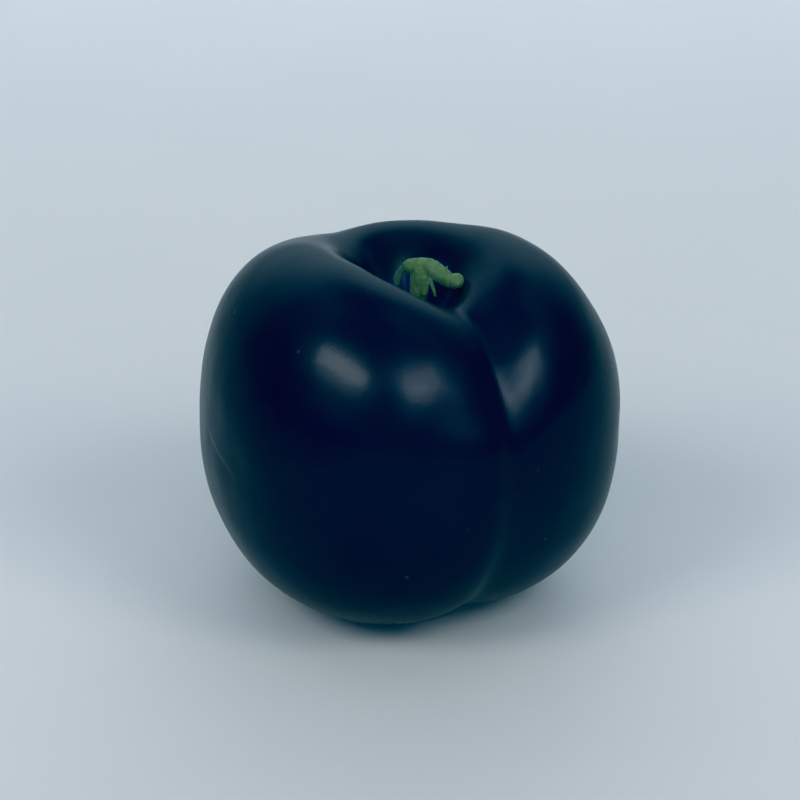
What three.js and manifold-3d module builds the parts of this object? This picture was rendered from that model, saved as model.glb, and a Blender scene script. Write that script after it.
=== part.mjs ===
// A ripe plum with the short green stem that it was picked with.
// Millimetres, +Z up. The fruit rests on a small flat spot under it. The origin is on the surface that it
// rests on, under the middle of its outline.

import * as THREE from 'three';
import * as BufferGeometryUtils from 'three/addons/utils/BufferGeometryUtils.js';
import Module from 'manifold-3d';

// Body of the fruit: a rounded, slightly squared ball, wider than it is high.
const BODY_RADIUS = 29.5;
const UPPER_HALF = 28.2;
const LOWER_HALF = 28.7;
const UPPER_SQUARENESS = 2.77;
const LOWER_SQUARENESS = 2.28;
const TAPER = -0.027; // share by which the body narrows from the bottom to the top

// Its outline from above isn't quite round: each entry is a share of the radius and an azimuth in degrees.
const EGG = { share: 0.031, azimuth: 88 };
const OVAL = { share: 0.022, azimuth: 147 };
const TRIANGLE = { share: 0.03, azimuth: 113 };

// Suture: the furrow that runs from the stem down one side of the fruit to its tip.
const SUTURE_AZIMUTH = -62;
const SUTURE_TWIST = -6; // degrees that it turns between the equator and the tip
const CREASE = { top: 0.7, middle: 0.12, bottom: 1.9, width: 3.0, round: 1.0 };

// Trough: the low saddle over the top along the same line, between the two shoulders.
const TROUGH = { front: 1.8, back: 2.2, nearWidth: 8, farWidth: 12, blend: 9 };

// The lobe on one side of the suture stands a little higher than the other.
const LOBE_STEP = { height: 0.75, width: 3, reach: 12 };

// Stem cavity: its place and half widths along and across the suture, and its depth.
const CAVITY = { along: -1.4, across: 2.3, depth: 12.5, length: 9.5, width: 7, steepness: 2.6 };

// Dimple at the tip of the fruit.
const TIP_DIMPLE = { depth: 0.8, width: 3 };

// How the fruit lies: its tilt in degrees and how much of the bottom the flat spot takes.
const LEAN = 1;
const ROLL = -1;
const FLAT_SPOT = 0.5;

// Stem: a short stalk that ends in a blunt crown with two broken side shoots.
const STEM_X = 1.5;
const STEM_Y = 0.6;
const STEM_FOOT = 40.2;
const STEM_RADIUS = 1.15;
const CROWN = { z: 51.05, halfLength: 2.35, halfDepth: 1.6, halfHeight: 1.0 };
const KNOB = { x: 6.8, y: -1.5, z: 49.7, radius: 1.05 };
const SOCKET_RADIUS = 1.5;
const GAP = 0.3;

const FACES_PER_SIDE = 24;
const DEGREE = Math.PI / 180;

const { smoothstep, lerp } = THREE.MathUtils;

// Turns a closed geometry into a solid that can be joined and cut.
const wasm = await Module();
wasm.setup();

function solidOf(geometry) {
  const bare = geometry.clone();
  bare.deleteAttribute('normal');
  bare.deleteAttribute('uv');
  const merged = BufferGeometryUtils.mergeVertices(bare, 1e-4);
  const mesh = new wasm.Mesh({
    numProp: 3,
    vertProperties: new Float32Array(merged.attributes.position.array),
    triVerts: new Uint32Array(merged.index.array),
  });
  return new wasm.Manifold(mesh);
}

function geometryOf(solid) {
  const mesh = solid.getMesh();
  const geometry = new THREE.BufferGeometry();
  geometry.setAttribute('position', new THREE.BufferAttribute(mesh.vertProperties, 3));
  geometry.setIndex(new THREE.BufferAttribute(mesh.triVerts, 1));
  geometry.computeVertexNormals();
  return geometry;
}

// Distance from the middle of the body to its skin in a unit direction, before any furrow.
function bodyReach(direction) {
  const level = Math.hypot(direction.x, direction.y);
  const azimuth = Math.atan2(direction.y, direction.x);
  const radius = BODY_RADIUS * (1
    + EGG.share * Math.cos(azimuth - EGG.azimuth * DEGREE)
    + OVAL.share * Math.cos(2 * (azimuth - OVAL.azimuth * DEGREE))
    + TRIANGLE.share * Math.cos(3 * (azimuth - TRIANGLE.azimuth * DEGREE)));
  const power = lerp(LOWER_SQUARENESS, UPPER_SQUARENESS, smoothstep(direction.z, -0.5, 0.5));
  const half = direction.z > 0 ? UPPER_HALF : LOWER_HALF;
  return ((level / radius) ** power + (Math.abs(direction.z) / half) ** power) ** (-1 / power);
}

// Point of the skin in a unit direction from the middle of the body.
function skinPoint(direction) {
  const point = direction.clone().multiplyScalar(bodyReach(direction));
  point.x *= 1 + TAPER * direction.z;
  point.y *= 1 + TAPER * direction.z;

  // Distances along and across the line of the suture.
  const fromTop = Math.acos(THREE.MathUtils.clamp(direction.z, -1, 1)) / DEGREE;
  const line = (SUTURE_AZIMUTH + SUTURE_TWIST * (fromTop - 90) / 90) * DEGREE;
  const along = point.x * Math.cos(line) + point.y * Math.sin(line);
  const across = -point.x * Math.sin(line) + point.y * Math.cos(line);
  const sutureSide = smoothstep(along / Math.hypot(along, across, 2), -0.1, 0.5);
  const upper = smoothstep(95 - fromTop, 0, 60);
  const lower = smoothstep(fromTop, 100, 160);

  // The trough over the top, and the crease down the side.
  const front = smoothstep(along, -TROUGH.blend, TROUGH.blend);
  const width = across < 0 ? TROUGH.nearWidth : TROUGH.farWidth;
  let sink = 0;
  if (direction.z > 0) {
    const backFade = smoothstep(80 - fromTop, 0, 50);
    sink += (front * TROUGH.front * upper + (1 - front) * TROUGH.back * backFade)
      * Math.exp(-((across / width) ** 2));
  }
  const creaseDepth = CREASE.middle + (CREASE.top - CREASE.middle) * upper
    + (CREASE.bottom - CREASE.middle) * lower;
  const fromCrease = Math.hypot(across, CREASE.round) - CREASE.round;
  sink += sutureSide * creaseDepth * Math.exp(-fromCrease / CREASE.width);

  const step = LOBE_STEP.height * Math.tanh(-across / LOBE_STEP.width)
    * Math.exp(-((across / LOBE_STEP.reach) ** 2))
    * sutureSide * smoothstep(fromTop, 8, 40) * smoothstep(178 - fromTop, 0, 28);
  point.addScaledVector(direction, step - sink);

  // The cavity that the stem stands in, and the dimple at the tip.
  const away = Math.hypot((along - CAVITY.along) / CAVITY.length, (across - CAVITY.across) / CAVITY.width);
  point.z -= CAVITY.depth / (1 + away ** CAVITY.steepness) * smoothstep(direction.z, 0, 0.5);
  if (direction.z < 0) {
    const fromAxis = Math.hypot(point.x, point.y);
    point.z += TIP_DIMPLE.depth * Math.exp(-((fromAxis / TIP_DIMPLE.width) ** 2));
  }
  return point;
}

// A ball of even quadrilateral patches, pushed out to the skin, tilted and set down on its flat spot.
function fruitGeometry() {
  const cube = new THREE.BoxGeometry(2, 2, 2, FACES_PER_SIDE, FACES_PER_SIDE, FACES_PER_SIDE);
  cube.deleteAttribute('normal');
  cube.deleteAttribute('uv');
  const geometry = BufferGeometryUtils.mergeVertices(cube, 1e-5);
  const position = geometry.attributes.position;
  const tilt = new THREE.Euler(LEAN * DEGREE, ROLL * DEGREE, 0, 'YXZ');
  const points = [];
  for (let i = 0; i < position.count; i++) {
    const corner = new THREE.Vector3().fromBufferAttribute(position, i);
    const direction = new THREE.Vector3(
      Math.tan(corner.x * 45 * DEGREE),
      Math.tan(corner.y * 45 * DEGREE),
      Math.tan(corner.z * 45 * DEGREE),
    ).normalize();
    points.push(skinPoint(direction).applyEuler(tilt));
  }
  const lowest = Math.min(...points.map((point) => point.z));
  for (const point of points) point.z = Math.max(0, point.z - lowest - FLAT_SPOT);
  const middle = new THREE.Box3().setFromPoints(points).getCenter(new THREE.Vector3());
  points.forEach((point, i) => {
    position.setXYZ(i, point.x - middle.x, point.y - middle.y, point.z);
  });
  return geometry;
}

// A round rod along a curve, with a radius given at points along it and rounded ends.
function rod(path, radii, rings, sides) {
  const curve = new THREE.CatmullRomCurve3(path.map((place) => new THREE.Vector3(...place)));
  const radiusAt = (share) => {
    const place = share * (radii.length - 1);
    const index = Math.min(Math.floor(place), radii.length - 2);
    return lerp(radii[index], radii[index + 1], place - index);
  };
  const length = curve.getLength();
  const profile = [new THREE.Vector2(0, 0)];
  for (let i = 0; i <= rings; i++) {
    const share = (1 - Math.cos(Math.PI * i / rings)) / 2;
    const fromEnd = Math.min(share, 1 - share) * length;
    const radius = radiusAt(share);
    const inside = Math.max(0, radius - fromEnd) / radius;
    profile.push(new THREE.Vector2(radius * Math.sqrt(Math.max(0.3, 1 - inside ** 2)), share));
  }
  profile.push(new THREE.Vector2(0, 1));
  const geometry = new THREE.LatheGeometry(profile, sides);
  const position = geometry.attributes.position;
  for (let i = 0; i < position.count; i++) {
    const share = THREE.MathUtils.clamp(position.getY(i), 0, 1);
    const tangent = curve.getTangentAt(share);
    const back = new THREE.Vector3(0, 1, 0).addScaledVector(tangent, -tangent.y).normalize();
    const side = new THREE.Vector3().crossVectors(tangent, back);
    const point = curve.getPointAt(share)
      .addScaledVector(side, position.getX(i))
      .addScaledVector(back, position.getZ(i));
    position.setXYZ(i, point.x, point.y, point.z);
  }
  return geometry;
}

function ellipsoid(x, y, z, radiusX, radiusY, radiusZ, sides) {
  const geometry = new THREE.SphereGeometry(1, sides, sides / 2);
  geometry.scale(radiusX, radiusY, radiusZ);
  geometry.translate(x, y, z);
  return geometry;
}

function stemSolid() {
  const top = CROWN.z;
  const stalk = rod([
    [STEM_X, STEM_Y, STEM_FOOT],
    [STEM_X, STEM_Y, STEM_FOOT + 4],
    [STEM_X - 0.15, STEM_Y, top],
  ], [STEM_RADIUS, 0.95 * STEM_RADIUS, 1.1 * STEM_RADIUS], 12, 16);
  const crown = ellipsoid(STEM_X - 0.1, STEM_Y, top, CROWN.halfLength, CROWN.halfDepth, CROWN.halfHeight, 20);
  const leftShoot = rod([
    [STEM_X - 0.8, STEM_Y, top - 0.1],
    [STEM_X - 2.6, STEM_Y - 0.2, top - 0.7],
    [STEM_X - 3.6, STEM_Y - 0.5, top - 1.9],
    [STEM_X - 3.8, STEM_Y - 0.7, top - 3.1],
  ], [0.85, 0.75, 0.65, 0.5], 10, 10);
  const rightShoot = rod([
    [STEM_X + 0.6, STEM_Y, top - 0.2],
    [STEM_X + 2.4, STEM_Y - 0.7, top - 0.6],
    [KNOB.x - 1.2, KNOB.y + 0.4, KNOB.z + 0.3],
    [KNOB.x, KNOB.y, KNOB.z],
  ], [0.9, 1.0, 0.9, 0.85], 10, 12);
  const knob = ellipsoid(KNOB.x, KNOB.y, KNOB.z, KNOB.radius, KNOB.radius, KNOB.radius, 16);
  const bract = rod([
    [STEM_X + 1.2, STEM_Y - 0.8, top - 0.8],
    [STEM_X + 1.6, STEM_Y - 1.5, top - 2.2],
    [STEM_X + 2.0, STEM_Y - 1.7, top - 3.7],
  ], [0.4, 0.32, 0.22], 8, 8);
  return [crown, leftShoot, rightShoot, knob, bract]
    .reduce((whole, piece) => whole.add(solidOf(piece)), solidOf(stalk));
}

// The plain round hole at the bottom of the cavity, a little wider and deeper than the foot of the stem.
function socketSolid() {
  const height = 5;
  const socket = new THREE.CylinderGeometry(SOCKET_RADIUS, SOCKET_RADIUS, height, 16);
  socket.rotateX(Math.PI / 2);
  socket.translate(STEM_X, STEM_Y, STEM_FOOT - GAP + height / 2);
  return solidOf(socket);
}

const fruit = new THREE.Mesh(
  geometryOf(solidOf(fruitGeometry()).subtract(socketSolid())),
  new THREE.MeshStandardMaterial({ color: 0x0a1630, roughness: 0.3, metalness: 0 }),
);
fruit.name = 'fruit';

const stem = new THREE.Mesh(
  geometryOf(stemSolid()),
  new THREE.MeshStandardMaterial({ color: 0x56733f, roughness: 0.8, metalness: 0 }),
);
stem.name = 'stem';

const plum = new THREE.Group();
plum.add(fruit, stem);

export default plum;
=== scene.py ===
"""A ripe dark plum with its green stem stub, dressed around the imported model."""
from math import acos, atan2, cos, degrees, exp, hypot, pi, radians, sin, sqrt, tan, tanh

import bmesh
import bpy
from bpy.props import FloatProperty, FloatVectorProperty, PointerProperty
from bpy.types import Operator, Panel, PropertyGroup
from mathutils import Euler, Matrix, Vector, noise


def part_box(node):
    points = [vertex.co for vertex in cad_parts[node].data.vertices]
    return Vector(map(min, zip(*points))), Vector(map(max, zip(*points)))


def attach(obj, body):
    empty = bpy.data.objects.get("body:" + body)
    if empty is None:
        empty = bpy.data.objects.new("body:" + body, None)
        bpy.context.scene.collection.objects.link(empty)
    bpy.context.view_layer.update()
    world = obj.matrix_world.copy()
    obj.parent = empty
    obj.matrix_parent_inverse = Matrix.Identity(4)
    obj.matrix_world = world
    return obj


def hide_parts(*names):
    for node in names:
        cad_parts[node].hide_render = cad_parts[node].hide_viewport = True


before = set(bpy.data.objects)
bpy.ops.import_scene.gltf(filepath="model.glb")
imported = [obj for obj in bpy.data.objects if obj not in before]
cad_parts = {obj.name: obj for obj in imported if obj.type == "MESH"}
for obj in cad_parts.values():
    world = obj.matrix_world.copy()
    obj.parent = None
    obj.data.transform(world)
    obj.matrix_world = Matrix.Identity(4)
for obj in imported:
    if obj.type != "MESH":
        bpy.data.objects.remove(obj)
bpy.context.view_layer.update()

bl_info = {
    "name": "Dark Plum",
    "version": (1, 0, 0),
    "blender": (4, 5, 0),
    "location": "3D View > Sidebar > Plum",
    "description": "Models a ripe dark plum and its stem, with its skin, bloom and studio stage",
    "category": "Add Mesh",
}

FRUIT_LOW, FRUIT_HIGH = (Vector(corner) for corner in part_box("fruit"))
MM = 0.001

# The body of the fruit, in millimetres and degrees.
BODY_RADIUS = 27.91
UPPER_HALF = 29.98
LOWER_HALF = 27.49
UPPER_SQUARENESS = 2.24
LOWER_SQUARENESS = 2.555
TAPER = -0.008
EGG = (0.031, 115.4)
OVAL = (0.049, 161.1)
TRIANGLE = (0.050, 127.2)
LEAN = 0.21
ROLL = 2.02
FLAT_SPOT = 0.5
TIP_DIMPLE_DEPTH = 0.8
TIP_DIMPLE_WIDTH = 3

# The dressed fruit's top stays this far below its solid's, in millimetres.
HEADROOM = 0.45

# The suture, with the ridge and hollow beside it. Places and widths are across it, below 0 to its left.
SUTURE_AZIMUTH = -58.4
SUTURE_TWIST = -5.1
CREASE_WIDTH = 4.30
CREASE_ROUND_TOP = 3
CREASE_ROUND_BELOW = 1
TROUGH_WIDTHS = (11.9, 6.0)
STEP_WIDTH = 1.74
STEP_SPREAD = 10.0
FLANKS = ((-10.5, 3.5, -0.15), (-2, 4.5, 0.35))

# The hollow that the stem stands in: its middle along and across the suture, its half widths, its
# steepness, and the place in it from which its dull skin is measured; its colour there is also painted
# lighter and bluer as painted light.
CAVITY_MIDDLE = (-2.11, 1.25)
CAVITY_WIDTHS = (9.65, 6.44)
CAVITY_STEEPNESS = 2.98
CAVITY_INSIDE = Vector((1.5, 3.5, 43))
CAVITY_REACH = (7.5, 5.0)

# The long dent on the left side, in shares of the fruit's radius: its slope and start, where it fades in,
# where it ends, and the widths of its steep upper edge and of its fading.
DENT_SLOPE = -0.29
DENT_START = 0.25
DENT_FADE_IN = (0.19, 0.28)
DENT_END = 0.58
DENT_EDGE = 0.016
DENT_FADE = 0.08

# Waves of the uneven skin, in waves to the fruit's radius.
WIDE_WAVES = 2.7
FINE_WAVES = 6.1

# Soft swellings and hollows of the skin: azimuth, height angle, spread, height in millimetres.
SWELLINGS = (
    # flat patches that the windows show in, on the left lobe and the right one
    (-115, 35, 0.15, -0.07),
    (-43, 36, 0.10, -0.10),
    # a slight rise between them
    (-83, 33, 0.10, 0.03),
    # hollows of the right shoulder and the left flank
    (20, 36, 0.22, -0.40),
    (173, 15, 0.20, -0.20),
)

# The stem, in millimetres.
KNOB = Vector((6.58, -1.5, 47.74))
KNOB_RADIUS = 1.06
STEM_VOXEL = 0.08
STEM_SMOOTHING = 3

# The dish in the knob's end: its middle in knob radii, the way it is pressed in, its radius and its depth.
DISH_PLACE = Vector((0.25, -0.8, 0.55))
DISH_INWARD = Vector((-0.2, 0.8, -0.5))
DISH_RADIUS = 0.62
DISH_DEPTH = 0.3

# Parts of the stem: the points of each one's path, its radii, and how flat it is.
STEM_RODS = (
    # the stalk, widening into the crown
    (((1.4, 0.7, 37.5), (1.37, 0.7, 41.0), (1.4, 0.65, 43.48), (1.39, 0.6, 44.56), (1.5, 0.55, 45.49),
      (1.59, 0.5, 46.56), (1.66, 0.5, 47.61), (1.52, 0.6, 48.77)),
     (1.35, 1.1, 1.04, 1.16, 1.3, 1.38, 1.47, 1.48), 0.85),
    # the crown and its arm, out to the knob
    (((-0.56, 0.7, 48.72), (0.07, 0.6, 48.97), (0.76, 0.6, 49.03), (1.59, 0.6, 49.06),
      (2.42, 0.55, 49.06), (3.11, 0.4, 48.91), (3.8, 0.1, 48.52), (4.49, -0.3, 48.15),
      (5.17, -0.8, 47.85), (5.86, -1.2, 47.54), (6.58, -1.5, 47.72)),
     (0.71, 1.07, 1.16, 1.17, 1.17, 1.21, 1.24, 1.21, 1.09, 0.92, 0.93), 0.95),
    # the strap on the left
    (((-0.49, 0.5, 48.81), (-1.11, 0.3, 48.44), (-1.46, 0.1, 47.85), (-1.59, -0.1, 47.18),
      (-1.66, -0.3, 46.44)),
     (0.62, 0.52, 0.52, 0.48, 0.37), 0.5),
    # the sliver and the flap that peel off the stalk
    (((2.9, -0.4, 47.83), (3.22, -0.6, 46.87), (3.52, -0.8, 45.98), (3.74, -0.9, 45.05)),
     (0.31, 0.3, 0.25, 0.14), 0.6),
    (((2.07, -0.5, 47.88), (2.28, -0.6, 46.87), (2.28, -0.65, 45.99), (2.14, -0.7, 45.19)),
     (0.59, 0.54, 0.45, 0.28), 0.6),
    # three tufts
    (((4.9, -0.4, 48.81), (5.21, -0.45, 49.15), (5.33, -0.5, 49.55)),
     (0.28, 0.17, 0.08), 1.0),
    (((5.65, -1.1, 48.35), (5.71, -1.15, 48.82), (5.68, -1.2, 49.18)),
     (0.24, 0.16, 0.08), 1.0),
    (((4.07, 0.0, 49.07), (4.43, 0.0, 49.28), (4.7, 0.0, 49.31)),
     (0.25, 0.16, 0.08), 1.0),
)

# Lumps of the crown and the knob: middle, and half widths.
STEM_LUMPS = (
    ((1.45, 0.7, 48.87), (1.8, 1.3, 1.1)),
    (KNOB, (KNOB_RADIUS, KNOB_RADIUS, KNOB_RADIUS)),
)

# Lights: azimuth from the camera's side to the right and height, in degrees; distance, width and length
# in metres; brightness; and colour where they have one. The windows show only in the gloss, and the soft
# lights only on matt faces.
WINDOWS = (
    ("window_left", -39.4, 41.1, 1.6, 1.1, 0.3, 19.5),
    ("window_left_glow", -38.0, 35.0, 1.6, 1.1, 0.4, 1.5),
    ("window_right", 44.0, 38.0, 1.6, 0.6, 0.36, 9.8),
    ("window_right_foot", 36.3, 30.7, 1.6, 0.4, 0.38, 7.8),
    ("window_right_glow", 39.0, 36.0, 1.6, 0.95, 0.75, 1.5),
    ("window_right_haze", 38.0, 34.0, 1.6, 1.3, 1.15, 0.75),
)
WHITE = (1, 1, 1)
WARM = (1.13, 1, 0.86)
COOL = (0.45, 0.9, 2.0)
SOFT_LIGHTS = (
    ("side_left", -50, 42, 1.6, 0.6, 0.6, 4.8, WARM),
    ("side_right", 50, 42, 1.6, 0.6, 0.6, 3.8, WARM),
    ("front", 0, 40, 1.6, 0.9, 0.6, 1.1, WARM),
    ("front_low", 0, 14, 1.6, 1.8, 0.35, 1.2, COOL),
    ("back", 180, 36, 1.6, 0.9, 0.6, 1.0, WARM),
)
LIGHTS_AIM = Vector((0, 0, 0.035))

# The room's colour, and its brightness by the height of the look upwards: in front of the fruit, beside it
# and behind it.
ROOM_COLOUR = (0.88, 1, 1.1)
ROOM_FRONT = ((0.0, 0.0), (0.45, 0.0), (0.65, 1.25), (0.85, 0.3), (1.0, 0.2))
ROOM_SIDE = ((0.0, 0.04), (0.2, 0.12), (0.45, 0.02), (0.7, 0.3), (0.9, 1.05), (1.0, 0.2))
ROOM_BACK = ((0.0, 0.3), (0.17, 0.75), (0.34, 1.0), (0.5, 1.4), (0.7, 1.7), (0.87, 0.1), (1.0, 0.2))

# Painted shade and light on the floor, from front to back between these places in metres: darker bands of
# painted shadow near the fruit, and a brighter far floor that the skin's top rim reflects.
FLOOR_FRONT = -0.1
FLOOR_BACK = 0.4
FLOOR_PAINTED_SHADE_AND_LIGHT = ((0, 0.88), (0.19, 0.93), (0.26, 0.88), (0.34, 0.91), (0.6, 1), (1, 1.25))

# Painted shade: the floor is darkened on the left, where the skin's left flank reflects it, from the second
# place in metres to the first, down to this share.
FLOOR_PAINTED_SHADE_LEFT = (-0.15, -0.085)
PAINTED_SHADE_SHARE = 0.55

# Colours of the small marks.
SPECK_COLOUR = (0.05, 0.16, 0.2, 1)
# painted light: the stem cavity's skin is made lighter and bluer than the rest of the skin
CAVITY_PAINTED_LIGHT = (0.0012, 0.004, 0.07, 1)
MOTTLE_COLOUR = (0.4, 0.45, 0.5, 1)

# Camera: millimetres and degrees.
CAMERA_AIM = Vector((-1.18, 0, 28.89))
CAMERA_HEIGHT_ANGLE = 25
CAMERA_DISTANCE = 413.8
CAMERA_LENS = 132

# Tone of the picture's reds: what they lose, how fast the loss starts, where it fades in the lights, how
# light the deepest red is, and the curve's points, each so many times as bright as the last.
RED_LOSS = 0.028
RED_TOE = 0.02
RED_FADE = (0.3, 0.6)
DEEPEST_RED = 0.001
FIRST_RED = 0.018
RED_STEP = 1.5
RED_STEPS = 10


# ---------------------------------------------------------------- settings

class PlumSkinSettings(PropertyGroup):
    crease_top: FloatProperty(
        name="Crease at the top", description="Depth of the suture's crease beside the stem cavity",
        default=2.00 * MM, unit="LENGTH", subtype="DISTANCE")
    crease_middle: FloatProperty(
        name="Crease at the middle", description="Depth of the crease half way down",
        default=0.27 * MM, unit="LENGTH", subtype="DISTANCE")
    crease_bottom: FloatProperty(
        name="Crease at the bottom", description="Depth of the crease by the tip",
        default=1.94 * MM, unit="LENGTH", subtype="DISTANCE")
    trough_front: FloatProperty(
        name="Front trough", description="Depth of the low saddle on the suture's side of the cavity",
        default=1.81 * MM, unit="LENGTH", subtype="DISTANCE")
    trough_back: FloatProperty(
        name="Back trough", description="Depth of the low saddle behind the cavity",
        default=2.13 * MM, unit="LENGTH", subtype="DISTANCE")
    lobe_step: FloatProperty(
        name="Lobe step", description="How much one lobe stands above the other along the suture",
        default=0.35 * MM, unit="LENGTH", subtype="DISTANCE")
    cavity_depth: FloatProperty(
        name="Cavity depth", description="Depth of the hollow that the stem stands in",
        default=14.47 * MM, unit="LENGTH", subtype="DISTANCE")
    dent_depth: FloatProperty(
        name="Dent depth", description="Depth of the long dent on the left side",
        default=0.1 * MM, unit="LENGTH", subtype="DISTANCE")
    unevenness: FloatProperty(
        name="Unevenness", description="Height of the soft waves that a grown skin has",
        default=0.12 * MM, unit="LENGTH", subtype="DISTANCE")
    colour: FloatVectorProperty(
        name="Skin colour", description="Colour of the ripe skin under its bloom",
        default=(0.0008, 0.0007, 0.024), size=3, min=0, max=1, subtype="COLOR")
    bloom_colour: FloatVectorProperty(
        name="Bloom colour", description="Colour of the thin wax on the skin",
        default=(0.16, 0.3, 0.42), size=3, min=0, max=1, subtype="COLOR")


class PlumStemSettings(PropertyGroup):
    thickness: FloatProperty(
        name="Thickness", description="Thickness of the stalk, arm and strips, as a share of the usual",
        default=1.0, min=0.5, max=1.2)
    colour: FloatVectorProperty(
        name="Stem colour", description="Colour of the green bark",
        default=(0.092, 0.168, 0.051), size=3, min=0, max=1, subtype="COLOR")
    pale_colour: FloatVectorProperty(
        name="Pale bark colour", description="Colour of the dry, pale patches",
        default=(0.137, 0.226, 0.11), size=3, min=0, max=1, subtype="COLOR")
    fibre_colour: FloatVectorProperty(
        name="Fibre colour", description="Colour of the dark streaks along the bark",
        default=(0.05, 0.1, 0.035), size=3, min=0, max=1, subtype="COLOR")
    strap_colour: FloatVectorProperty(
        name="Strap colour", description="Colour of the thin strap on the left, dark and a little blue",
        default=(0.02, 0.065, 0.06), size=3, min=0, max=1, subtype="COLOR")


class PlumStageSettings(PropertyGroup):
    floor_colour: FloatVectorProperty(
        name="Floor colour", description="Colour of the pale surface",
        default=(0.695, 0.755, 0.805), size=3, min=0, max=1, subtype="COLOR")
    window_brightness: FloatProperty(
        name="Window brightness", description="Strength of the windows that show in the skin's gloss",
        default=1.0, min=0)
    room_brightness: FloatProperty(
        name="Room brightness", description="Strength of the light from the room's walls and ceiling",
        default=1.0, min=0)
    fill_brightness: FloatProperty(
        name="Fill brightness", description="Strength of the soft lights, which leave no gloss",
        default=1.0, min=0)


# ---------------------------------------------------------------- helpers

def smoothstep(value, low, high):
    share = min(max((value - low) / (high - low), 0), 1)
    return share * share * (3 - 2 * share)


def mix(low, high, share):
    return low + (high - low) * share


def make_object(name, bm):
    mesh = bpy.data.meshes.new(name)
    bm.to_mesh(mesh)
    bm.free()
    for face in mesh.polygons:
        face.use_smooth = True
    piece = bpy.data.objects.new(name, mesh)
    bpy.context.scene.collection.objects.link(piece)
    return piece


class Nodes:
    """Adds nodes to a material or world and links them."""

    def __init__(self, owner):
        owner.use_nodes = True
        self.tree = owner.node_tree
        self.tree.nodes.clear()

    def add(self, kind, inputs=None, **settings):
        node = self.tree.nodes.new(kind)
        for name, value in settings.items():
            setattr(node, name, value)
        for socket, value in (inputs or {}).items():
            if isinstance(value, bpy.types.NodeSocket):
                self.tree.links.new(value, node.inputs[socket])
            else:
                node.inputs[socket].default_value = value
        return node

    def ramp(self, factor, stops, tint=(1, 1, 1)):
        """Brightness by place, from pairs of the two, in one tint."""
        node = self.add("ShaderNodeValToRGB", {"Fac": factor})
        elements = node.color_ramp.elements
        while len(elements) < len(stops):
            elements.new(0.5)
        for element, (place, brightness) in zip(elements, stops):
            element.position = place
            element.color = (*(brightness * part for part in tint), 1)
        return node.outputs["Color"]

    def value_range(self, value, low, high, to_low, to_high, smooth=False):
        node = self.add("ShaderNodeMapRange", {
            "Value": value, "From Min": low, "From Max": high, "To Min": to_low, "To Max": to_high})
        if smooth:
            node.interpolation_type = "SMOOTHSTEP"
        return node.outputs["Result"]

    def math(self, operation, *values):
        node = self.add("ShaderNodeMath", dict(enumerate(values)), operation=operation)
        return node.outputs["Value"]

    def mix(self, factor, low, high, blend="MIX"):
        node = self.add("ShaderNodeMix", {0: factor, 6: low, 7: high}, data_type="RGBA", blend_type=blend)
        return node.outputs[2]

    def noise(self, place, scale, detail=3.0, roughness=0.5):
        node = self.add("ShaderNodeTexNoise", {
            "Vector": place, "Scale": scale, "Detail": detail, "Roughness": roughness})
        return node.outputs["Fac"]

    def bump(self, height, distance, strength=1.0, under=None):
        inputs = {"Height": height, "Distance": distance, "Strength": strength}
        if under is not None:
            inputs["Normal"] = under
        return self.add("ShaderNodeBump", inputs).outputs["Normal"]


# ---------------------------------------------------------------- fruit

def sphere_point(azimuth, height):
    azimuth, height = radians(azimuth), radians(height)
    return Vector((cos(azimuth) * cos(height), sin(azimuth) * cos(height), sin(height)))


SWELLING_PLACES = [
    (sphere_point(azimuth, angle), spread, height) for azimuth, angle, spread, height in SWELLINGS]


def wave(share_and_azimuth, azimuth, count):
    share, start = share_and_azimuth
    return share * cos(count * (azimuth - radians(start)))


def body_reach(direction):
    """Distance in millimetres from the middle of the body to its skin, before any furrow."""
    azimuth = atan2(direction.y, direction.x)
    radius = BODY_RADIUS * (1 + wave(EGG, azimuth, 1) + wave(OVAL, azimuth, 2) + wave(TRIANGLE, azimuth, 3))
    power = mix(LOWER_SQUARENESS, UPPER_SQUARENESS, smoothstep(direction.z, -0.5, 0.5))
    half = UPPER_HALF if direction.z > 0 else LOWER_HALF
    level = hypot(direction.x, direction.y)
    return ((level / radius) ** power + (abs(direction.z) / half) ** power) ** (-1 / power)


def dent_sink(direction):
    """Share of the dent's depth in a direction: steep on its upper edge, fading below."""
    forward = -direction.y
    if direction.x > 0 or forward < DENT_FADE_IN[0]:
        return 0
    under = DENT_SLOPE * (forward - DENT_START) - direction.z
    length = smoothstep(forward, *DENT_FADE_IN) * smoothstep(DENT_END - forward, 0, DENT_FADE)
    return length * smoothstep(under, -DENT_EDGE, DENT_EDGE) * exp(-max(0, under) / DENT_FADE)


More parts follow.
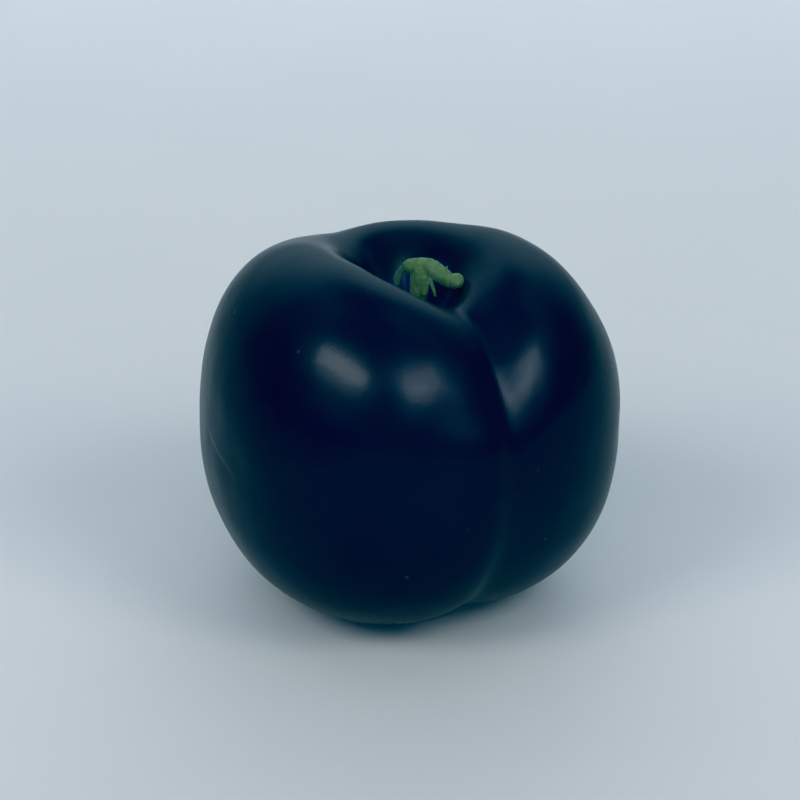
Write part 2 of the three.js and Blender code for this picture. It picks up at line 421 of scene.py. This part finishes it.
def skin_point(direction, cuts):
    """Point of the skin in millimetres, in a unit direction from the middle of the body."""
    point = direction * body_reach(direction)
    point.x *= 1 + TAPER * direction.z
    point.y *= 1 + TAPER * direction.z

    from_top = degrees(acos(max(-1, min(1, direction.z))))
    line = radians(SUTURE_AZIMUTH + SUTURE_TWIST * (from_top - 90) / 90)
    along = point.x * cos(line) + point.y * sin(line)
    across = -point.x * sin(line) + point.y * cos(line)
    suture_side = smoothstep(along / sqrt(along ** 2 + across ** 2 + 4), -0.1, 0.5)
    upper = smoothstep(95 - from_top, 0, 60)
    lower = smoothstep(from_top, 100, 160)

    sink = 0
    if direction.z > 0:
        front = smoothstep(along, -9, 9)
        back_fade = smoothstep(80 - from_top, 0, 50)
        trough = front * cuts["trough_front"] * upper + (1 - front) * cuts["trough_back"] * back_fade
        sink += trough * exp(-(across / TROUGH_WIDTHS[across > 0]) ** 2)
    crease = mix(cuts["crease_middle"], cuts["crease_top"], upper)
    crease += (cuts["crease_bottom"] - cuts["crease_middle"]) * lower
    round_foot = mix(CREASE_ROUND_TOP, CREASE_ROUND_BELOW, smoothstep(from_top, 36, 52))
    sink += suture_side * crease * exp(-(hypot(across, round_foot) - round_foot) / CREASE_WIDTH)
    step = cuts["lobe_step"] * tanh(-across / STEP_WIDTH) * exp(-(across / STEP_SPREAD) ** 2)
    step *= suture_side * smoothstep(from_top, 8, 40) * smoothstep(178 - from_top, 0, 28)
    middle = suture_side * smoothstep(from_top, 25, 50) * smoothstep(150 - from_top, 0, 50)
    step += middle * sum(height * exp(-((across - place) / width) ** 2)
                         for place, width, height in FLANKS)
    step += sum(height * exp(-(direction - place).length_squared / spread ** 2)
                for place, spread, height in SWELLING_PLACES)
    sink += cuts["dent_depth"] * dent_sink(direction)
    waves = noise.noise(direction * WIDE_WAVES) + 0.5 * noise.noise(direction * FINE_WAVES)
    swell = cuts["unevenness"] * waves
    point += direction * (step - sink + swell)

    away = hypot(
        (along - CAVITY_MIDDLE[0]) / CAVITY_WIDTHS[0], (across - CAVITY_MIDDLE[1]) / CAVITY_WIDTHS[1])
    point.z -= cuts["cavity_depth"] / (1 + away ** CAVITY_STEEPNESS) * smoothstep(direction.z, 0, 0.5)
    if direction.z < 0:
        point.z += TIP_DIMPLE_DEPTH * exp(-(point.x ** 2 + point.y ** 2) / TIP_DIMPLE_WIDTH ** 2)
    return point


def fruit_mesh(settings):
    cuts = {name: getattr(settings, name) / MM for name in (
        "crease_top", "crease_middle", "crease_bottom", "trough_front", "trough_back",
        "lobe_step", "cavity_depth", "dent_depth", "unevenness")}
    bm = bmesh.new()
    bmesh.ops.create_cube(bm, size=2)
    for count in (7, 14):
        bmesh.ops.subdivide_edges(bm, edges=bm.edges[:], cuts=count, use_grid_fill=True)
    tilt = Euler((radians(LEAN), radians(ROLL), 0), "XYZ").to_matrix()
    quarter = pi / 4
    for vert in bm.verts:
        direction = Vector(tan(quarter * share) for share in vert.co).normalized()
        vert.co = tilt @ skin_point(direction, cuts) * MM
    drop = min(vert.co.z for vert in bm.verts) + FLAT_SPOT * MM
    for vert in bm.verts:
        vert.co.z = max(0, vert.co.z - drop)
    fit_to_box(bm, FRUIT_LOW, FRUIT_HIGH - Vector((0, 0, HEADROOM * MM)))
    return bm


def fit_to_box(bm, low, high):
    """Moves and scales the mesh by a hair so that it fills the box and no more."""
    for axis in range(3):
        values = [vert.co[axis] for vert in bm.verts]
        scale = (high[axis] - low[axis]) / (max(values) - min(values))
        start = min(values)
        for vert in bm.verts:
            vert.co[axis] = low[axis] + (vert.co[axis] - start) * scale


def skin_material(settings):
    material = bpy.data.materials.new("plum_skin")
    nodes = Nodes(material)
    place = nodes.add("ShaderNodeTexCoord").outputs["Object"]

    patches = nodes.noise(place, 55, detail=4, roughness=0.55)
    fine = nodes.noise(place, 900, detail=3, roughness=0.6)
    grain = nodes.noise(place, 2600, detail=2, roughness=0.6)

    bloom_share = nodes.value_range(patches, 0.35, 0.7, 0.0, 0.006, smooth=True)
    colour = nodes.mix(bloom_share, (*settings.colour, 1), (*settings.bloom_colour, 1))

    cells = nodes.add("ShaderNodeTexVoronoi", {"Vector": place, "Scale": 210.0, "Randomness": 1.0})
    speck = nodes.value_range(cells.outputs["Distance"], 0.03, 0.07, 1.0, 0.0, smooth=True)
    chosen = nodes.value_range(
        nodes.add("ShaderNodeSeparateColor", {"Color": cells.outputs["Color"]}).outputs["Red"],
        0.6, 0.95, 0.0, 0.35)
    specks = nodes.math("MULTIPLY", speck, chosen)
    colour = nodes.mix(specks, colour, SPECK_COLOUR)

    roughness = nodes.value_range(patches, 0.3, 0.7, 0.25, 0.31)
    middle = nodes.add("ShaderNodeVectorMath", {0: place, 1: CAVITY_INSIDE * MM}, operation="DISTANCE")
    rim, inside = (reach * MM for reach in CAVITY_REACH)
    # the cavity mask: duller skin there, and painted light in its colour
    hollow = nodes.value_range(middle.outputs["Value"], rim, inside, 0.0, 1.0, smooth=True)
    roughness = nodes.math("MAXIMUM", roughness, nodes.math("MULTIPLY", hollow, 0.8))
    # painted light: the cavity's skin is mixed towards the lighter, bluer colour
    colour = nodes.mix(hollow, colour, CAVITY_PAINTED_LIGHT)
    normal = nodes.bump(fine, 0.05 * MM, 0.25)
    normal = nodes.bump(grain, 0.02 * MM, 0.25, under=normal)

    shader = nodes.add("ShaderNodeBsdfPrincipled", {
        "Base Color": colour, "Roughness": roughness, "Normal": normal,
        "IOR": 1.3,
        "Specular IOR Level": 0.168,
        "Coat Weight": 0.01,
        "Coat Roughness": 0.1,
        "Coat IOR": 2.0,
        "Coat Normal": normal,
    })
    nodes.add("ShaderNodeOutputMaterial", {"Surface": shader.outputs["BSDF"]})
    return material


# ---------------------------------------------------------------- stem

def ring_frame(path, index):
    """Place and turn of a rod's cross-section: its Z runs along the path."""
    before = path[max(index - 1, 0)]
    after = path[min(index + 1, len(path) - 1)]
    forward = (after - before).normalized()
    side = Vector((0, 1, 0)).cross(forward)
    if side.length < 1e-6:
        side = Vector((1, 0, 0))
    side.normalize()
    turn = Matrix((side, forward.cross(side), forward)).transposed().to_4x4()
    return Matrix.Translation(path[index]) @ turn


def smooth_path(points, steps):
    """Even points on a smooth curve through the given ones."""
    curve = []
    last = len(points) - 1
    for i in range(last):
        a = points[max(i - 1, 0)]
        b, c = points[i], points[i + 1]
        d = points[min(i + 2, last)]
        for k in range(steps):
            t = k / steps
            curve.append(0.5 * (2 * b + (c - a) * t + (2 * a - 5 * b + 4 * c - d) * t * t
                                + (3 * b - a - 3 * c + d) * t ** 3))
    curve.append(points[-1])
    return curve


def add_rod(bm, points, radii, flatness=1.0, sides=20, steps=6):
    """A closed rod along a path, thinned across its depth by flatness, with softly closed ends."""
    path = smooth_path([Vector(point) * MM for point in points], steps)
    count = len(path) - 1
    frames = [ring_frame(path, index) for index in range(count + 1)]

    def radius(index):
        place = index / count * (len(radii) - 1)
        start = min(int(place), len(radii) - 2)
        return mix(radii[start], radii[start + 1], place - start) * MM

    def section(index, shrink=1.0):
        size = radius(index) * shrink
        return frames[index] @ Matrix.Diagonal((size, size * flatness, size, 1))

    ring = bmesh.ops.create_circle(
        bm, cap_ends=True, segments=sides, radius=1, matrix=section(0, 0.6))["verts"]
    face = ring[0].link_faces[0]
    face.normal_update()
    current = section(0, 0.6)
    for index in range(count + 1):
        target = section(index, 0.6 if index == count else 1.0)
        grown = bmesh.ops.extrude_face_region(bm, geom=[face], use_keep_orig=index == 0)["geom"]
        face = next(part for part in grown if isinstance(part, bmesh.types.BMFace))
        bmesh.ops.transform(bm, matrix=target @ current.inverted(), verts=face.verts[:])
        current = target


def add_lump(bm, centre, radii):
    size = Matrix.Diagonal((*(radius * MM for radius in radii), 1))
    matrix = Matrix.Translation(Vector(centre) * MM) @ size
    bmesh.ops.create_icosphere(bm, subdivisions=4, radius=1, matrix=matrix)


def stem_mesh(settings):
    """The stub: a stalk under a thick crown, a strap and an arm to its sides, and torn strips."""
    thickness = settings.thickness
    bm = bmesh.new()
    for path, radii, flatness in STEM_RODS:
        add_rod(bm, path, [radius * thickness for radius in radii], flatness=flatness)
    for centre, radii in STEM_LUMPS:
        add_lump(bm, centre, radii)
    bmesh.ops.recalc_face_normals(bm, faces=bm.faces[:])
    return bm


def weather_stem(mesh):
    """Dishes the knob's end and roughens the bark of the joined stem."""
    dish = KNOB * MM + DISH_PLACE * KNOB_RADIUS * MM
    inward = DISH_INWARD.normalized()
    moves = []
    for vert in mesh.vertices:
        place = vert.co / MM
        grain = noise.noise(Vector((place.x * 2.6, place.y * 2.6, place.z * 0.9)))
        fine = noise.noise(place * 5.5)
        move = vert.normal * (0.09 * grain + 0.04 * fine) * MM
        reach = (vert.co - dish).length / (DISH_RADIUS * MM)
        move += inward * DISH_DEPTH * MM * exp(-reach ** 2.5)
        moves.append(vert.co + move)
    for vert, place in zip(mesh.vertices, moves):
        vert.co = place


def fuse(piece, voxel, smoothing):
    """Joins the piece's overlapping lumps into one skin and softens where they meet."""
    remesh = piece.modifiers.new("Fuse", "REMESH")
    remesh.mode = "VOXEL"
    remesh.voxel_size = voxel
    soften = piece.modifiers.new("Soften", "SMOOTH")
    soften.factor = 0.5
    soften.iterations = smoothing
    graph = bpy.context.evaluated_depsgraph_get()
    mesh = bpy.data.meshes.new_from_object(piece.evaluated_get(graph))
    piece.modifiers.clear()
    piece.data = mesh
    for face in mesh.polygons:
        face.use_smooth = True


def stem_material(settings):
    material = bpy.data.materials.new("plum_stem")
    nodes = Nodes(material)
    place = nodes.add("ShaderNodeTexCoord").outputs["Object"]
    blotch = nodes.noise(place, 700, detail=5, roughness=0.6)
    along_bark = nodes.add("ShaderNodeMapping", {"Vector": place, "Scale": (1, 1, 0.25)})
    fibre = nodes.noise(along_bark.outputs["Vector"], 2600, detail=4, roughness=0.65)
    colour = nodes.mix(nodes.value_range(blotch, 0.35, 0.7, 0.0, 1.0, smooth=True),
                       (*settings.colour, 1), (*settings.pale_colour, 1))
    streaks = nodes.value_range(fibre, 0.45, 0.75, 0.0, 0.5)
    colour = nodes.mix(streaks, colour, (*settings.fibre_colour, 1))
    across = nodes.add("ShaderNodeSeparateXYZ", {"Vector": place}).outputs["X"]
    strap = nodes.value_range(across, 0.3 * MM, -1.2 * MM, 0.0, 0.8, smooth=True)
    colour = nodes.mix(strap, colour, (*settings.strap_colour, 1))
    normal = nodes.bump(fibre, 0.12 * MM, 0.7)
    shader = nodes.add("ShaderNodeBsdfPrincipled", {
        "Base Color": colour, "Roughness": 0.75, "Normal": normal, "Specular IOR Level": 0.2,
        "Sheen Weight": 0.7, "Sheen Roughness": 0.3, "Sheen Tint": (0.5, 0.8, 1, 1)})
    nodes.add("ShaderNodeOutputMaterial", {"Surface": shader.outputs["BSDF"]})
    return material


# ---------------------------------------------------------------- stage

def floor_mesh():
    bm = bmesh.new()
    bmesh.ops.create_grid(bm, x_segments=8, y_segments=8, size=3)
    return bm


def floor_material(settings):
    material = bpy.data.materials.new("pale_floor")
    nodes = Nodes(material)
    place = nodes.add("ShaderNodeTexCoord").outputs["Object"]
    mottle = nodes.noise(place, 30, detail=4)
    colour = nodes.mix(nodes.value_range(mottle, 0.3, 0.7, 0.0, 0.04),
                       (*settings.floor_colour, 1), MOTTLE_COLOUR)
    parts = nodes.add("ShaderNodeSeparateXYZ", {"Vector": place})
    # painted shade: the floor darkens towards the left
    painted_left_shade = nodes.value_range(parts.outputs["X"], *FLOOR_PAINTED_SHADE_LEFT, PAINTED_SHADE_SHARE, 1.0, smooth=True)
    colour = nodes.mix(painted_left_shade, (0, 0, 0, 1), colour)
    # painted shade and light: the floor's brightness changes from front to back
    depth = nodes.value_range(parts.outputs["Y"], FLOOR_FRONT, FLOOR_BACK, 0.0, 1.0)
    colour = nodes.mix(1.0, colour, nodes.ramp(depth, FLOOR_PAINTED_SHADE_AND_LIGHT), blend="MULTIPLY")
    shader = nodes.add("ShaderNodeBsdfPrincipled", {
        "Base Color": colour, "Roughness": 0.9, "Specular IOR Level": 0.2})
    nodes.add("ShaderNodeOutputMaterial", {"Surface": shader.outputs["BSDF"]})
    return material


def direction_from(azimuth, height):
    """Unit direction at an azimuth from the camera's side towards the right, and a height angle."""
    azimuth, height = radians(azimuth), radians(height)
    return Vector((sin(azimuth) * cos(height), -cos(azimuth) * cos(height), sin(height)))


def add_light(name, azimuth, height, distance, width, length, brightness, colour):
    light = bpy.data.lights.new(name, "AREA")
    light.shape = "RECTANGLE"
    light.size = width
    light.size_y = length
    light.energy = brightness * pi * width * length
    light.color = colour
    lamp = bpy.data.objects.new(name, light)
    bpy.context.scene.collection.objects.link(lamp)
    towards = direction_from(azimuth, height)
    lamp.location = towards * distance + LIGHTS_AIM
    lamp.rotation_mode = "QUATERNION"
    lamp.rotation_quaternion = (-towards).to_track_quat("-Z", "Y")
    return lamp


def add_lights(settings):
    for *place, brightness in WINDOWS:
        lamp = add_light(*place, brightness * settings.window_brightness, WHITE)
        lamp.visible_diffuse = False
    for *place, brightness, colour in SOFT_LIGHTS:
        lamp = add_light(*place, brightness * settings.fill_brightness, colour)
        lamp.visible_glossy = False


def add_camera():
    camera = bpy.data.cameras.new("camera")
    camera.sensor_width = 36
    camera.lens = CAMERA_LENS
    camera.clip_start = 0.01
    holder = bpy.data.objects.new("camera", camera)
    bpy.context.scene.collection.objects.link(holder)
    towards = direction_from(0, CAMERA_HEIGHT_ANGLE)
    holder.location = (CAMERA_AIM + towards * CAMERA_DISTANCE) * MM
    holder.rotation_mode = "QUATERNION"
    holder.rotation_quaternion = (-towards).to_track_quat("-Z", "Y")
    bpy.context.scene.camera = holder


def add_room(brightness):
    world = bpy.data.worlds.new("room")
    bpy.context.scene.world = world
    nodes = Nodes(world)
    look = nodes.add("ShaderNodeTexCoord").outputs["Generated"]
    parts = nodes.add("ShaderNodeSeparateXYZ", {"Vector": look})
    front, side, back = (
        nodes.ramp(parts.outputs["Z"], stops, ROOM_COLOUR) for stops in (ROOM_FRONT, ROOM_SIDE, ROOM_BACK))
    steepness = nodes.math("POWER", parts.outputs["Z"], 2.0)
    level = nodes.math("SQRT", nodes.math("SUBTRACT", 1.0001, steepness))
    facing = nodes.math("DIVIDE", parts.outputs["Y"], level)
    front_to_side = nodes.value_range(facing, -0.4, 0.2, 0.0, 1.0, smooth=True)
    side_to_back = nodes.value_range(facing, 0.5, 1.0, 0.0, 1.0, smooth=True)
    light = nodes.mix(side_to_back, nodes.mix(front_to_side, front, side), back)
    background = nodes.add("ShaderNodeBackground", {"Color": light, "Strength": brightness})
    nodes.add("ShaderNodeOutputWorld", {"Surface": background.outputs["Background"]})


def tone_picture(view):
    """A cool print tone: the darker reds lose a little, as on a film that is slow to see them."""
    view.view_transform = "Standard"
    view.use_curve_mapping = True
    reds = view.curve_mapping.curves[0]
    reds.points[0].location = (0, DEEPEST_RED)
    for step in range(RED_STEPS):
        value = FIRST_RED * RED_STEP ** step
        loss = RED_LOSS * (1 - exp(-value / RED_TOE)) * (1 - smoothstep(value, *RED_FADE))
        reds.points.new(value, value - loss)
    view.curve_mapping.update()


# ---------------------------------------------------------------- operators

class PLUM_OT_fruit(Operator):
    """Model the fruit: its lobes, suture, stem cavity, dent and skin"""
    bl_idname = "plum.fruit"
    bl_label = "Fruit"

    def execute(self, context):
        settings = context.scene.plum_skin
        piece = make_object("plum_fruit", fruit_mesh(settings))
        piece.data.materials.append(skin_material(settings))
        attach(piece, "root")
        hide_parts("fruit")
        return {"FINISHED"}


class PLUM_OT_stem(Operator):
    """Model the stem stub: its stalk, crown, side shoots, knob and slivers"""
    bl_idname = "plum.stem"
    bl_label = "Stem"

    def execute(self, context):
        settings = context.scene.plum_stem
        piece = make_object("plum_stem_stub", stem_mesh(settings))
        fuse(piece, STEM_VOXEL * MM, STEM_SMOOTHING)
        weather_stem(piece.data)
        piece.data.materials.append(stem_material(settings))
        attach(piece, "root")
        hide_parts("stem")
        return {"FINISHED"}


class PLUM_OT_stage(Operator):
    """Set up the pale floor, the windows, the soft lights, the room and the camera"""
    bl_idname = "plum.stage"
    bl_label = "Stage"

    def execute(self, context):
        settings = context.scene.plum_stage
        floor = make_object("pale_floor", floor_mesh())
        floor.data.materials.append(floor_material(settings))
        add_lights(settings)
        add_room(settings.room_brightness)
        add_camera()
        tone_picture(context.scene.view_settings)
        return {"FINISHED"}


class PLUM_PT_sidebar(Panel):
    bl_label = "Plum"
    bl_idname = "PLUM_PT_sidebar"
    bl_space_type = "VIEW_3D"
    bl_region_type = "UI"
    bl_category = "Plum"

    def draw(self, context):
        for operator, settings in (("plum.fruit", "plum_skin"), ("plum.stem", "plum_stem"),
                                   ("plum.stage", "plum_stage")):
            box = self.layout.box()
            box.operator(operator)
            group = getattr(context.scene, settings)
            for name in group.__annotations__:
                box.prop(group, name)


CLASSES = (
    PlumSkinSettings, PlumStemSettings, PlumStageSettings,
    PLUM_OT_fruit, PLUM_OT_stem, PLUM_OT_stage, PLUM_PT_sidebar,
)


def register():
    for entry in CLASSES:
        bpy.utils.register_class(entry)
    bpy.types.Scene.plum_skin = PointerProperty(type=PlumSkinSettings)
    bpy.types.Scene.plum_stem = PointerProperty(type=PlumStemSettings)
    bpy.types.Scene.plum_stage = PointerProperty(type=PlumStageSettings)


def unregister():
    del bpy.types.Scene.plum_stage
    del bpy.types.Scene.plum_stem
    del bpy.types.Scene.plum_skin
    for entry in reversed(CLASSES):
        bpy.utils.unregister_class(entry)


def main():
    register()
    bpy.ops.plum.fruit()
    bpy.ops.plum.stem()
    bpy.ops.plum.stage()


if __name__ == "__main__":
    main()
